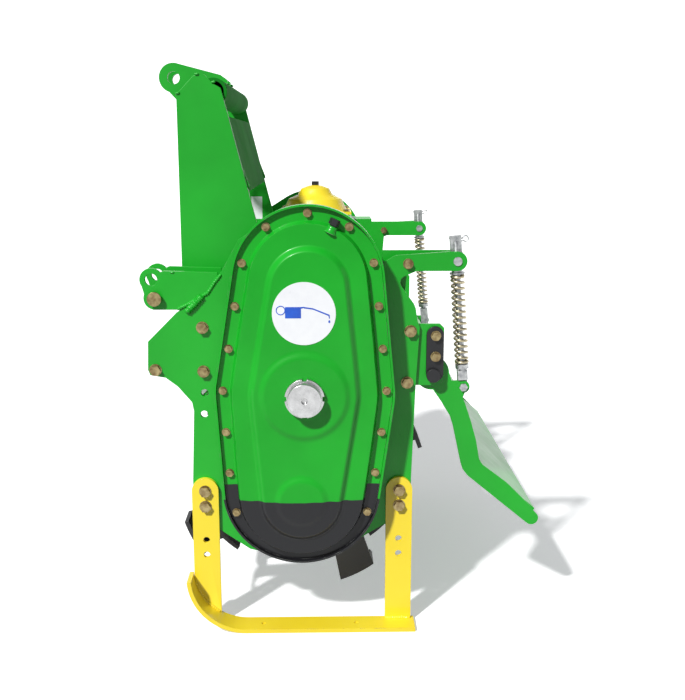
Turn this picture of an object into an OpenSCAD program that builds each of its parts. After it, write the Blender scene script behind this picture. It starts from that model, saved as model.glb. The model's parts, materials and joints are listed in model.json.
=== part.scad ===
// Compact rotary tiller for a three-point hitch, with a gear case at one side.
// The tractor is towards -X, the trailing board towards +X, and the gear case at -Y.
// Inside each module, X and Z are measured from the rotor's axis and Y from the frame's middle.

/* [Frame] */
// Distance over the outer faces of the two side plates
side_span = 750; // [640:10:1000]
// Thickness of the side plates
plate_t = 8; // [6:1:12]
// Height of the rotor's axis above the ground
rotor_h = 270; // [260:5:300]
// Outer diameter of the tubes that join the gearbox to the side plates
axle_d = 90; // [84:2:100]
// Wall of the tubes, the cross tube and the top beam
tube_wall = 6; // [4:1:8]
// Side of the square front cross tube
cross_tube = 40; // [36:1:44]

/* [Hitch] */
// Height of the top-link hole above the rotor's axis
mast_h = 774; // [740:2:800]
// Distance between the middles of the two lower-link clevises
link_spread = 672; // [560:2:922]
// Clear gap inside each lower-link clevis
link_gap = 62; // [50:1:70]
// Diameter of the lower-link holes
link_hole_d = 22.4; // [19:0.1:28]
// Diameter of the top-link holes
top_hole_d = 25.6; // [19:0.1:26]
// Clear gap between the top-link plates
top_gap = 60; // [50:1:76]
// Distance between the middles of the mast legs
leg_spread = 540; // [440:2:560]

/* [Drive] */
// Module of the side gears
side_module = 6; // [6:0.1:6]
// Teeth on the upper side gear
top_teeth = 30; // [26:2:30]
// Teeth on the middle side gear
mid_teeth = 38; // [36:2:38]
// Teeth on the rotor's side gear
low_teeth = 28; // [26:2:30]
// Width of the side gears
gear_w = 24; // [18:1:26]
// Diameter of the cross shaft
cross_d = 35; // [30:1:38]
// Lean of the gear case towards the rear, in degrees
case_lean = 2; // [0:0.5:3]
// Depth of the gear case, from the side plate to its cover's rim
case_depth = 44; // [42:1:56]
// Diameter of the bolts round the gear case's cover
rim_bolt_d = 8; // [6:1:8]
// Number of bolts round the gear case's cover
rim_bolts = 20; // [14:1:22]

/* [Rotor] */
// Radius of the circle that the blade tips sweep
blade_r = 240; // [225:1:245]
// Outer diameter of the rotor's tube
rotor_d = 90; // [76:1:100]
// Number of flanges along the rotor
flanges = 5; // [3:1:5]
// Sideways reach of each blade's tip
blade_reach = 60; // [40:1:62]

/* [Skids and board] */
// Width of the flat bar of the skids
skid_w = 50; // [40:1:56]
// Thickness of the flat bar of the skids
skid_t = 8; // [6:1:10]
// Thickness of the trailing board's sheet
board_t = 4; // [3:0.5:6]
// Diameter of the spring rods
rod_d = 12; // [10:0.5:13]
// Outer diameter of the springs
spring_d = 27; // [24:0.5:28]
// Diameter of the spring wire
wire_d = 5; // [3.5:0.25:5]
// Turns in each spring
spring_turns = 15; // [10:1:18]

/* [Hidden] */
$fn = 48;

// Fits and clearances
run_gap = 0.05;      // radial clearance of a shaft that turns in its bore
bolt_gap = 0.25;     // radial clearance of a bolt in its hole
seat_gap = 0.3;      // gap between pieces that move past each other
backlash = 0.3;      // gap between the flanks of meshed teeth

// Planes across the machine
face_y = side_span / 2;              // outer face of a side plate
inner_y = face_y - plate_t;          // inner face of a side plate
holder_t = 6;
cheek_t = 6;
arm_gap = 22;                        // between the side plate and the inner arm
arm_t = 6;
rod_y = inner_y - arm_gap / 2;       // plane of the spring rods and of the board's cheeks
leg_t = 8;
leg_y = leg_spread / 2;

// Key places round the rotor's axis, as [x, z]
pivot = [244, 221];                  // hinge of the trailing board
ear = [303, 194];                    // foot of the spring rod
swivel = [285, 432];                 // trunnion of the spring rod
arm_h = 35;
low_to_mid = side_module * (low_teeth + mid_teeth) / 2;
mid_to_top = side_module * (mid_teeth + top_teeth) / 2;
lean = [sin(case_lean), cos(case_lean)];
mid_shaft = low_to_mid * lean;
top_shaft = (low_to_mid + mid_to_top) * lean;

// Where the axle tube's height, the cross tube and the hitch stand
tube_x = -215;                       // front of the cross tube
tube_z = 305;                        // bottom of the cross tube
clevis_z = tube_z + cross_tube;      // bottom of the lower-link plates
link_hole = [-270, 400];
link_pin = [-264, 366];
link_pin_d = 20;
top_hole = [-266, mast_h];
beam = [-160, mast_h - 39];
beam_d = 50;
stay = [-268, 233];
stay_d = 24;
plate_bolt_d = 12;
front_bolts = [[-180, 312], [-180, 230]];
rear_bolts = [[201, 304], [196, 207]];
link_bolts = [[248, 295], [248, 256]];
arm_bolt = [195, 428];
arm_post = [170, 345];                // welded between the plate and the inner arm
hinge_d = 16;
pin_d = 16;

// Skids
skid_x = 183;                        // middle of each leg, before and behind the axis
skid_bolt_z = [0, -30];
skid_hole_z = [-98, -128];
ski_r = 112;                         // radius of the upturned nose
ski_rear = 214;
ski_front = -106;                    // where the nose starts to turn up

// The whole machine is placed with the origin under the middle of its bounding box
front_end = top_hole[0] - 30;
board_tip = [442, -68];
tip_r = 13;
near_end = -face_y - case_depth - 55;
far_end = face_y + skid_w;
rotor_x = -(front_end + board_tip[0] + tip_r) / 2;
middle_y = -(near_end + far_end) / 2;

module at_rotor() { translate([rotor_x, middle_y, rotor_h]) children(); }
// An outline in X and Z, made t thick from y towards +Y
module slab(y, t) { translate([0, y + t, 0]) rotate([90, 0, 0]) linear_extrude(t) children(); }
// A round bar along Y at the place p = [x, z]
module bar(p, d, y0, y1) { translate([p[0], y1, p[1]]) rotate([90, 0, 0]) cylinder(d = d, h = y1 - y0); }
module tube(p, d, bore, y0, y1) {
    difference() {
        bar(p, d, y0, y1);
        bar(p, bore, y0 - 1, y1 + 1);
    }
}
module both_sides() { children(); mirror([0, 1, 0]) children(); }
module dot(p, r) { translate(p) circle(r = r); }
module holes(places, d) { for (p = places) translate(p) circle(d = d); }
// A bolt along Y with its head outwards at y, and its nut inwards after a grip
module bolt(p, d, y, grip, nut = true) {
    head = d * 0.62;
    translate([p[0], y, p[1]]) rotate([90, 0, 0]) {
        cylinder(d = d * 1.9, h = 1.5);
        translate([0, 0, 1.5]) cylinder(r = d * 0.85, h = head, $fn = 6);
    }
    bar(p, d, y, y + grip + (nut ? d : 0));
    if (nut) translate([p[0], y + grip + d * 0.8, p[1]]) rotate([90, 0, 0])
        cylinder(r = d * 0.85, h = d * 0.8, $fn = 6);
}
function arc(c, r, a0, a1, steps) =
    [for (i = [0:steps]) let (a = a0 + (a1 - a0) * i / steps) [c[0] + r * cos(a), c[1] + r * sin(a)]];

// ---- Side plates ------------------------------------------------------------------------
module plate_outline() {
    polygon(concat(
        [[-111, 472], [-138, 423], [-168, 376], [-205, 355], [-227, 339], [-280, 286],
         [-282, 233], [-278, 223], [-250, 218], [-228, 201], [-203, 171], [-200, 154],
         [-206, 20], [-206, -45], [-165, -75], [-101, -120], [-60, -130], [60, -130],
         [150, -75], [206, -50], [206, 20], [209, 100], [212, 202], [218, 312], [214, 321],
         [210, 346], [207, 354], [191, 376]],
        arc([193, 394], 12, 210, 110, 6),
        [[210, swivel[1] - arm_h / 2], [swivel[0], swivel[1] - arm_h / 2]],
        arc(swivel, arm_h / 2, -90, 90, 16),
        [[266, 449.5], [172, 443], [152, 432]],
        arc(top_shaft, 126, 15, 122, 20)
    ));
}
module plate_holes() {
    holes(concat(front_bolts, rear_bolts, [stay]), plate_bolt_d + 2 * bolt_gap);
    holes([for (x = [-skid_x, skid_x], z = skid_bolt_z) [x, z]], plate_bolt_d + 2 * bolt_gap);
    holes([[-179, 189], [-181, 148]], 14);
    translate(swivel) circle(d = pin_d + 2 * run_gap);
    holes([arm_bolt], 10 + 2 * bolt_gap);
}
rotor_bearing_d = 100;
cap_bolts = [for (a = [0:60:300]) 66 * [cos(a), sin(a)]];
cross_bearing_d = 72;
module side_plate_drive() color("limegreen") at_rotor() slab(-face_y, plate_t) difference() {
    plate_outline();
    plate_holes();
    dot([0, 0], rotor_bearing_d / 2 + run_gap);
    dot(top_shaft, cross_bearing_d / 2 + run_gap);
    dot(mid_shaft, middle_axle_d / 2 + run_gap);
}
module side_plate_bearing() color("limegreen") at_rotor() slab(inner_y, plate_t) difference() {
    plate_outline();
    plate_holes();
    dot([0, 0], rotor_bearing_d / 2 + run_gap);
    holes(cap_bolts, 10 + 2 * bolt_gap);
}

// ---- Rotor hood, cross tube and stay ------------------------------------------------------
hood_r = 255;
hood_t = 5;
module rotor_hood() color("limegreen") at_rotor() slab(-inner_y, 2 * inner_y) polygon(concat(
    arc([0, 0], hood_r, 140, 60, 20), [[176, 228], [176, 228 + hood_t]],
    arc([0, 0], hood_r + hood_t, 60, 140, 20)));
module square_tube(x, z, w, wall, y0, y1) slab(y0, y1 - y0) difference() {
    translate([x, z]) square(w);
    translate([x + wall, z + wall]) square(w - 2 * wall);
}
end_plate_t = 8;
module front_cross_tube() color("limegreen") at_rotor() {
    square_tube(tube_x, tube_z, cross_tube, 5, -inner_y + end_plate_t, inner_y - end_plate_t);
    both_sides() slab(-inner_y, end_plate_t) difference() {
        polygon([[-222, 215], [-160, 215], [-152, 240], [-152, clevis_z], [-222, clevis_z]]);
        holes(front_bolts, plate_bolt_d + 2 * bolt_gap);
    }
}
module front_stay() color("limegreen") at_rotor()
    tube(stay, stay_d, plate_bolt_d + 2 * bolt_gap, -inner_y, inner_y);

// ---- Tubes between the gearbox and the side plates ----------------------------------------
box_half = 75;
module axle_tube_drive() color("limegreen") at_rotor() {
    tube(top_shaft, axle_d, axle_d - 2 * tube_wall, -inner_y, -box_half - 10);
    tube(top_shaft, axle_d + 40, axle_d - 2 * tube_wall, -box_half - 10, -box_half);
}
module axle_tube_bearing() color("limegreen") at_rotor() mirror([0, 1, 0]) {
    tube(top_shaft, axle_d, axle_d - 2 * tube_wall, -inner_y, -box_half - 10);
    tube(top_shaft, axle_d + 40, axle_d - 2 * tube_wall, -box_half - 10, -box_half);
}

// ---- Mast ----------------------------------------------------------------------------------
leg_top = [[-228, mast_h - 44], [-221, mast_h - 37], [-197, mast_h - 12], [-185, mast_h - 6],
           [-177, mast_h - 8], [-160, mast_h - 25], [-146, mast_h - 33]];
slope_top = leg_top[6];
slope_foot = [-60, 400];
function on_slope(z) = slope_foot[0] + (slope_top[0] - slope_foot[0])
    * (z - slope_foot[1]) / (slope_top[1] - slope_foot[1]);
module leg_outline() difference() {
    polygon(concat([[-228, clevis_z]], leg_top, [slope_foot, [-10, 400], [-10, 360], [-60, clevis_z]]));
    dot(top_shaft, axle_d / 2);
}
module mast_legs() color("limegreen") at_rotor() both_sides()
    slab(-leg_y - leg_t / 2, leg_t) leg_outline();
module mast_top_beam() color("limegreen") at_rotor()
    tube(beam, beam_d, beam_d - 2 * tube_wall, -leg_y + leg_t / 2, leg_y - leg_t / 2);
web_low = 552;
web_high = mast_h - 84;
web_t = 6;
module mast_rear_web() color("limegreen") at_rotor() difference() {
    slab(-leg_y + leg_t / 2, 2 * leg_y - leg_t) polygon([
        [on_slope(web_low), web_low], [on_slope(web_high), web_high],
        [on_slope(web_high) - web_t, web_high], [on_slope(web_low) - web_t, web_low]]);
    both_sides() translate([-200, -leg_y, web_low - 30]) rotate([45, 0, 0])
        cube([200, 60, 60], center = true);
}
top_plate_t = 10;
module top_link_plates() color("limegreen") at_rotor() both_sides()
    slab(-top_gap / 2 - top_plate_t, top_plate_t) difference() {
        union() {
            polygon([top_hole + [-29, -8], top_hole + [4, -43], top_hole + [111, -43],
                     top_hole + [111, -5], top_hole + [97, 6], top_hole + [5, 29.5]]);
            dot(top_hole, 30);
        }
        dot(top_hole, top_hole_d / 2);
        dot(beam, beam_d / 2);
    }

// ---- Lower hitch ---------------------------------------------------------------------------
link_t = 8;
module link_outline() difference() {
    union() {
        polygon([[-280, 361], [-268, clevis_z], [-150, clevis_z], [-150, 413],
                 [-247, 416], [-290, 398]]);
        dot(link_hole, 21);
        dot(link_pin, 21);
    }
    dot(link_hole, link_hole_d / 2);
    dot(link_pin, link_pin_d / 2 + run_gap);
    translate([-400, clevis_z - 100]) square([400, 100]);
}
outer_link_y = -link_spread / 2 - link_gap / 2 - link_t;
module lower_link_plates() color("limegreen") at_rotor() both_sides() {
    slab(outer_link_y, link_t) difference() {
        link_outline();
        plate_outline();
    }
    slab(outer_link_y + link_t + link_gap, link_t) link_outline();
}
module lower_link_pins() color("goldenrod") at_rotor() both_sides() {
    bar(link_pin, link_pin_d, outer_link_y - 6, outer_link_y + 2 * link_t + link_gap + 6);
    bar(link_pin, link_pin_d + 6, outer_link_y - 12, outer_link_y - 6);
    bar(link_pin, link_pin_d + 8, outer_link_y + 2 * link_t + link_gap + seat_gap,
        outer_link_y + 2 * link_t + link_gap + 5);
}

// ---- Hinge of the trailing board and the arms of the spring rods ---------------------------
module hinge_holders() color("limegreen") at_rotor() both_sides()
    slab(-inner_y, holder_t) difference() {
        polygon([[180, 200], [256, 200], [264, 208], [264, 308], [256, 316], [188, 316]]);
        holes(rear_bolts, plate_bolt_d + 2 * bolt_gap);
        holes(link_bolts, 10 + 2 * bolt_gap);
        dot(pivot, hinge_d / 2 + run_gap);
    }
module hinge_links() color("dimgray") at_rotor() both_sides()
    slab(-inner_y - plate_t, plate_t) difference() {
        union() {
            translate([231, 224]) square([32, 72]);
            dot([247, 296], 16);
            dot([247, 224], 16);
        }
        holes(link_bolts, 10 + 2 * bolt_gap);
        dot(pivot, hinge_d / 2 + run_gap);
    }
module link_nuts() color("silver") at_rotor() both_sides()
    for (p = link_bolts) bolt(p, 10, -face_y, plate_t + holder_t - 6, false);
module hinge_pins() color("dimgray") at_rotor() both_sides() {
    bar(pivot, hinge_d, -face_y, -rod_y + cheek_t / 2 + 6);
    bar(pivot, 26, -face_y - 9, -face_y);
}
arm_outer_y = -inner_y + arm_gap;
module inner_arms() color("limegreen") at_rotor() both_sides() slab(arm_outer_y, arm_t) difference() {
    union() {
        polygon([[150, 449.5], [150, 320], [188, 320], [196, swivel[1] - arm_h / 2],
                 [swivel[0], swivel[1] - arm_h / 2], [swivel[0], swivel[1] + arm_h / 2]]);
        dot(swivel, arm_h / 2);
    }
    dot(swivel, pin_d / 2 + run_gap);
    holes([arm_bolt], 10 + 2 * bolt_gap);
}
module arm_spacers() color("goldenrod") at_rotor() both_sides() {
    tube(arm_bolt, 20, 10 + 2 * bolt_gap, -inner_y, arm_outer_y);
    bolt(arm_bolt, 10, -face_y, plate_t + arm_gap + arm_t);
    bar(arm_post, 20, -inner_y, arm_outer_y);
}
module side_bolts() color("goldenrod") at_rotor() both_sides() {
    // The upper bolt screws into the end plate, as the cross tube lies behind it
    for (p = front_bolts) bolt(p, plate_bolt_d, -face_y, plate_t + end_plate_t, p[1] < tube_z - 20);
    for (p = rear_bolts) bolt(p, plate_bolt_d, -face_y, plate_t + holder_t);
    bolt(stay, plate_bolt_d, -face_y, plate_t + 25, false);
}

// ---- Skids ----------------------------------------------------------------------------------
module ski_profile() difference() {
    union() {
        translate([ski_front, -rotor_h]) square([ski_rear - ski_front, skid_t]);
        intersection() {
            difference() {
                dot([ski_front, ski_r - rotor_h], ski_r);
                dot([ski_front, ski_r - rotor_h], ski_r - skid_t);
            }
            translate([ski_front - ski_r, -rotor_h]) square([ski_r, ski_r - 8]);
        }
    }
}
module skid_leg(x) slab(-face_y - skid_t, skid_t) difference() {
    union() {
        translate([x - skid_w / 2, -rotor_h + skid_t]) square([skid_w, rotor_h - skid_t]);
        dot([x, 0], skid_w / 2);
    }
    holes([for (z = concat(skid_bolt_z, skid_hole_z)) [x, z]], plate_bolt_d + 2 * bolt_gap);
    difference() {
        translate([ski_front - ski_r, -rotor_h]) square([ski_r, ski_r]);
        dot([ski_front, ski_r - rotor_h], ski_r - skid_t);
    }
}
module skids() color("gold") at_rotor() both_sides() {
    difference() {
        slab(-face_y - skid_w, skid_w) ski_profile();
        for (x = [-76, 102]) translate([x, -face_y - skid_w / 2, -rotor_h - 1]) cylinder(d = 8, h = skid_t + 2);
    }
    for (x = [-skid_x, skid_x]) skid_leg(x);
}
module skid_bolts() color("goldenrod") at_rotor() both_sides()
    for (x = [-skid_x, skid_x], z = skid_bolt_z) bolt([x, z], plate_bolt_d, -face_y - skid_t, skid_t + plate_t);

// ---- Gearbox over the rotor's middle ---------------------------------------------------------
box_front = -60;
box_rear = 105;
box_low = 322;
box_high = 495;
box_wall = 8;
nose_len = 40;
input_bearing_d = 72;
input_bearing_w = 17;
cover_x = 25;
module along_x(x0, x1, d) translate([x0, 0, top_shaft[1]]) rotate([0, 90, 0]) cylinder(d = d, h = x1 - x0);
module gearbox_housing() color("limegreen") at_rotor() difference() {
    union() {
        slab(-box_half, 2 * box_half) polygon([
            [box_front, box_low + 25], [box_front + 25, box_low], [box_rear - 25, box_low],
            [box_rear, box_low + 25], [box_rear, box_high - 10], [box_rear - 10, box_high],
            [box_front + 10, box_high], [box_front, box_high - 10]]);
        along_x(box_front - nose_len, box_front, 108);
        translate([box_rear, -40, box_high - 95]) cube([40, 80, 84]);
    }
    slab(-box_half + box_wall, 2 * (box_half - box_wall)) polygon([
        [box_front + box_wall, box_low + 25], [box_front + 25, box_low + box_wall],
        [box_rear - 25, box_low + box_wall], [box_rear - box_wall, box_low + 25],
        [box_rear - box_wall, box_high + 1], [box_front + box_wall, box_high + 1]]);
    along_x(box_front - nose_len - 1, box_front + box_wall + 1, input_bearing_d + 2 * run_gap);
    bar(top_shaft, cross_bearing_d + 2 * run_gap, -box_half - 1, box_half + 1);
}
module gearbox_cover() color("gold") at_rotor() translate([cover_x, 0, box_high]) {
    difference() {
        translate([-76, -70, 0]) cube([152, 140, 6]);
        translate([0, 0, -1]) cylinder(d = 100, h = 8);
        for (x = [-66, 66], y = [-60, 60]) translate([x, y, -1]) cylinder(d = 8.5, h = 8);
    }
    translate([0, 0, 6]) rotate_extrude($fn = 64) polygon([
        [50, 0], [68, 0], [57, 24], [38, 32], [30, 46], [14, 52], [6, 53], [6, 48], [26, 42],
        [34, 29], [50, 22]]);
}
module breather() color("dimgray") at_rotor() translate([cover_x, 0, box_high]) {
    translate([0, 0, 40]) cylinder(d = 11.9, h = 23);
    translate([0, 0, 59]) cylinder(d = 16, h = 8);
}
module gearbox_bolts() color("goldenrod") at_rotor() {
    for (x = [-66, 66], y = [-60, 60]) translate([cover_x + x, y, box_high + 6]) {
        cylinder(r = 7, h = 5, $fn = 6);
        translate([0, 0, -6]) cylinder(d = 8, h = 6);
    }
    both_sides() for (a = [30:60:330]) translate([top_shaft[0] + 56 * cos(a), -box_half - 10,
        top_shaft[1] + 56 * sin(a)]) rotate([90, 0, 0]) cylinder(r = 7, h = 5, $fn = 6);
}
shaft_in_d = 35;
module input_bearings() color("silver") at_rotor() for (x = [box_front - nose_len, box_front - 10])
    difference() {
        along_x(x, x + input_bearing_w, input_bearing_d);
        along_x(x - 1, x + input_bearing_w + 1, shaft_in_d + 2 * run_gap);
    }
module cross_bearings() color("silver") at_rotor() {
    for (y = [-box_half, box_half - 16]) tube(top_shaft, cross_bearing_d, cross_d + 2 * run_gap, y, y + 16);
    tube(top_shaft, cross_bearing_d, cross_d + 2 * run_gap, -face_y - 6, -inner_y + 6);
}

// ---- Gears ------------------------------------------------------------------------------------
pressure = 20;
function involute(a) = tan(a) * 180 / PI - a;
// Half the angle that a tooth takes up at the radius r
function half_angle(m, z, r) = let (rp = m * z / 2, rb = rp * cos(pressure))
    90 / z - backlash / 2 / rp * 180 / PI + involute(pressure) - involute(acos(rb / max(r, rb)));
function gear_points(m, z, phase) = let (rp = m * z / 2, rb = rp * cos(pressure), tip = rp + 0.95 * m,
    foot = rp - 1.25 * m, start = max(rb, foot + 0.1), steps = 4,
    radii = concat([foot], [for (i = [0:steps]) start + (tip - start) * i / steps]))
    [for (t = [0:z - 1], side = [-1, 1], i = [0:len(radii) - 1])
        let (k = side < 0 ? i : len(radii) - 1 - i, a = phase + 360 * t / z + side * half_angle(m, z, radii[k]))
        [radii[k] * cos(a), radii[k] * sin(a)]];
gear_y = -face_y - 10 - gear_w;
toward_low = -90 - case_lean;                // direction from the middle gear to the rotor's gear
module side_gear(c, z, phase, bore) slab(gear_y, gear_w) difference() {
    translate(c) polygon(gear_points(side_module, z, phase));
    dot(c, bore / 2 + run_gap);
    for (a = [0:60:300]) dot(c + 0.6 * side_module * z / 2 * [cos(a), sin(a)], 0.12 * side_module * z / 2);
}
middle_axle_d = 40;
rotor_shaft_d = 40;
module middle_gear() color("gray") at_rotor() side_gear(mid_shaft, mid_teeth, toward_low, middle_axle_d);
module rotor_gear() color("gray") at_rotor()
    side_gear([0, 0], low_teeth, toward_low + 180 + 180 / low_teeth, rotor_shaft_d);
module upper_gear() color("gray") at_rotor()
    side_gear(top_shaft, top_teeth, toward_low + 180 / top_teeth, cross_d);

// ---- Side gear case ---------------------------------------------------------------------------
rim_y = -face_y - case_depth;                // outer face of the cover's rim
sheet_t = 3;
gasket_t = 1;
rim_t = 8;
tray_h = 15;
ridge_h = 10;
boss_h = 4;
// Each outline wraps three circles, given by their middles and radii
case_c = [top_shaft, mid_shaft, [0, 19]];
case_r = [side_module * (top_teeth / 2 + 1) + 36, side_module * (mid_teeth / 2 + 1) + 39,
          side_module * (low_teeth / 2 + 1) + 51];
tray_c = [top_shaft, mid_shaft, [0, 8]];
tray_r = case_r - [24, 24, 24];
ridge_c = [top_shaft - 9 * lean, mid_shaft, [0, 0]];
ridge_r = case_r - [62, 62, 68];
lip_t = 3.5;                                 // upstanding edge of the housing round the cover
lip_h = 9;
wall_in = 20.5;                              // outside of the housing's wall, inwards from its rim
wall_t = 5.5;
function reach(c, r, i, a) = c[i][0] * cos(a) + c[i][1] * sin(a) + r[i];
function widest(c, r, a) = reach(c, r, 0, a) >= max(reach(c, r, 1, a), reach(c, r, 2, a)) ? 0
    : reach(c, r, 1, a) >= reach(c, r, 2, a) ? 1 : 2;
function wrap(c, r, d) = [for (a = [90:4:446]) let (i = widest(c, r, a)) c[i] + (r[i] + d) * [cos(a), sin(a)]];
module case_shape(d) polygon(wrap(case_c, case_r, d));
module tray_shape(d) polygon(wrap(tray_c, tray_r, d));
module ridge_shape(d) polygon(wrap(ridge_c, ridge_r, d));
// Places at equal steps along a closed outline
function edge(p, i) = p[(i + 1) % len(p)] - p[i];
function along(p, s, i = 0) = let (l = norm(edge(p, i % len(p))))
    s <= l ? p[i % len(p)] + edge(p, i % len(p)) * s / l : along(p, s - l, i + 1);
function total(p, i = 0) = i == len(p) ? 0 : norm(edge(p, i)) + total(p, i + 1);
bolt_line = wrap(case_c, case_r, -11);
all_places = [for (i = [0:rim_bolts - 1]) along(bolt_line, total(bolt_line) * i / rim_bolts)];
// The tray reaches the rim at the bottom, so no bolt goes there
bolt_places = [for (p = all_places) if (p[1] > -60) p];
module case_ring(y, t, d0, d1, drilled = true) slab(y, t) difference() {
    case_shape(d0);
    case_shape(d1);
    if (drilled) holes(bolt_places, rim_bolt_d + 2 * bolt_gap);
}
module case_housing() color("limegreen") at_rotor() difference() {
    union() {
        case_ring(rim_y - lip_h, lip_h + sheet_t + gasket_t, 0.5 + lip_t, 0.5, false);
        case_ring(rim_y + sheet_t + gasket_t, rim_t, 0.5 + lip_t, -wall_in - wall_t);
        case_ring(rim_y + sheet_t + gasket_t + rim_t, case_depth - sheet_t - gasket_t - rim_t,
                  -wall_in, -wall_in - wall_t, false);
    }
    translate([0, drain_y, 0]) rotate([180, 0, 0]) cylinder(d = 12, h = 200);
}
drain_y = -face_y - 16;
case_low = case_r[2] - case_c[2][1];         // depth of the case's lowest point under the rotor's axis
module case_gasket() color("black") at_rotor() case_ring(rim_y + sheet_t, gasket_t, 0, -wall_in - wall_t);
filler_a = 66;                               // direction of the filler plug from the upper shaft
filler_r = case_r[0] - 26;
filler_d = 12;
module at_filler() translate([top_shaft[0], rim_y - 10, top_shaft[1]]) rotate([0, 90 - filler_a, 0])
    translate([0, 0, filler_r]) children();
module case_cover() color("limegreen") at_rotor() difference() {
    union() {
        slab(rim_y, sheet_t) difference() {
            case_shape(0);
            holes(bolt_places, rim_bolt_d + 2 * bolt_gap);
        }
        slab(rim_y - tray_h, tray_h) tray_shape(0);
        slab(rim_y - tray_h - ridge_h, ridge_h) ridge_shape(0);
        bar(mid_shaft, 168, rim_y - tray_h - ridge_h - boss_h, rim_y - tray_h);
        bar([0, 0], 100, rim_y - tray_h - ridge_h - boss_h, rim_y - tray_h);
        at_filler() translate([0, 0, -12]) cylinder(d = 18, h = 16);
    }
    slab(rim_y - tray_h + sheet_t, tray_h + 1) tray_shape(-sheet_t);
    slab(rim_y - tray_h - ridge_h + sheet_t, ridge_h + 1) ridge_shape(-sheet_t);
    bar(mid_shaft, middle_axle_d + 2 * run_gap, rim_y - 60, rim_y);
    at_filler() translate([0, 0, -13]) cylinder(d = filler_d, h = 20);
}
module case_bolts() color("goldenrod") at_rotor() {
    for (p = bolt_places) bolt(p, rim_bolt_d, rim_y, sheet_t + gasket_t + rim_t);
    for (p = cap_bolts) mirror([0, 1, 0]) bolt(p, 10, -face_y - 8, 8 + plate_t);
}
module filler_plug() color("dimgray") at_rotor() at_filler() {
    translate([0, 0, 4]) cylinder(r = 9.5, h = 11, $fn = 6);
    translate([0, 0, -8]) cylinder(d = filler_d - 2 * run_gap, h = 12);
}
module drain_plug() color("dimgray") at_rotor() translate([0, drain_y, 0]) rotate([180, 0, 0]) {
    translate([0, 0, case_low - wall_in - wall_t + 1]) cylinder(d = 12 - 2 * run_gap, h = 8);
    translate([0, 0, case_low - wall_in + 2.3]) cylinder(r = 9, h = 8, $fn = 6);
}
module label_disc() color("white") at_rotor()
    bar(mid_shaft + [0, 151], 112, rim_y - tray_h - ridge_h - 0.6, rim_y - tray_h - ridge_h);
ring_y = rim_y - tray_h - ridge_h - boss_h - 10;
nut_y = near_end;
module middle_axle() color("silver") at_rotor() {
    bar(mid_shaft, middle_axle_d, nut_y + 8, -inner_y);
    bar(mid_shaft, 62, -inner_y, -inner_y + 8);
}
module axle_lock_ring() color("silver") at_rotor() slab(ring_y, 10) difference() {
    dot(mid_shaft, 35.5);
    dot(mid_shaft, middle_axle_d / 2 + run_gap);
    for (a = [0:90:270]) translate(mid_shaft) rotate(a) translate([32, -4]) square([8, 8]);
}
module axle_end_nut() color("silver") at_rotor() difference() {
    bar(mid_shaft, 60, nut_y, ring_y);
    bar(mid_shaft, middle_axle_d + 2 * run_gap, nut_y + 8, ring_y + 1);
    bar(mid_shaft, 10, nut_y - 1, nut_y + 5);
}

// ---- Input shaft, bevel gears and cross shaft ---------------------------------------------------
stub_end = box_front - nose_len - 88;
module input_shaft() color("silver") at_rotor() {
    along_x(box_front - nose_len - 4, -44, shaft_in_d);
    difference() {
        along_x(stub_end, box_front - nose_len - 4, shaft_in_d);
        for (a = [0:60:300]) translate([stub_end - 1, 0, top_shaft[1]]) rotate([a, 0, 0])
            translate([0, -4.5, shaft_in_d / 2 - 2.8]) cube([74, 9, 6]);
        difference() {
            along_x(stub_end + 22, stub_end + 30, 60);
            along_x(stub_end + 21, stub_end + 31, shaft_in_d - 5.6);
        }
    }
}
bevel_m = 4.5;
pinion_teeth = 12;
bevel_teeth = 24;
// One bevel gear along +Z, with its wide end at z = 0 and its cone narrowing upwards
module bevel(z, other, face_h, phase, bore) {
    r = bevel_m * z / 2;
    h = bevel_m * other / 2;
    c = h / norm([r, h]);
    s = r / norm([r, h]);
    function far(t) = (r + t * c) * h / (h - t * s);
    function half(t) = (PI * bevel_m / 4 - 0.5 - t * tan(pressure)) / (r + t * c) * 180 / PI;
    difference() {
        linear_extrude(face_h, scale = (h - face_h) / h) polygon([
            for (k = [0:z - 1], p = [[-0.95, -1], [0.7, -1], [0.7, 1], [-0.95, 1]])
                let (t = p[0] * bevel_m, a = phase + 360 * k / z + p[1] * half(t)) far(t) * [cos(a), sin(a)]]);
        translate([0, 0, -1]) cylinder(d = bore + 2 * run_gap, h = face_h + 2);
    }
}
module bevel_pinion() color("gray") at_rotor()
    translate([top_shaft[0] - bevel_m * bevel_teeth / 2, 0, top_shaft[1]]) {
        rotate([0, 90, 0]) bevel(pinion_teeth, bevel_teeth, 16, 90, 20);
        translate([-4, 0, 0]) rotate([0, 90, 0]) cylinder(d = 20, h = 20);
    }
bevel_y = bevel_m * pinion_teeth / 2;
module bevel_gear() color("gray") at_rotor() {
    translate([top_shaft[0], bevel_y, top_shaft[1]]) rotate([90, 0, 0])
        bevel(bevel_teeth, pinion_teeth, 9, 180 / bevel_teeth, cross_d);
    tube(top_shaft, 60, cross_d + 2 * run_gap, bevel_y, box_half - 16 - seat_gap);
}
module cross_shaft() color("silver") at_rotor() bar(top_shaft, cross_d, gear_y - 3, box_half + 6);

// ---- Rotor ----------------------------------------------------------------------------------------
tube_end = inner_y - 17;
flange_span = 2 * (inner_y - 79);
flange_y = [for (i = [0:flanges - 1]) -flange_span / 2 + flange_span * i / (flanges - 1)];
flange_t = 8;
blade_t = 8;
blade_holes = [[80, -13], [80, 13]];
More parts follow.
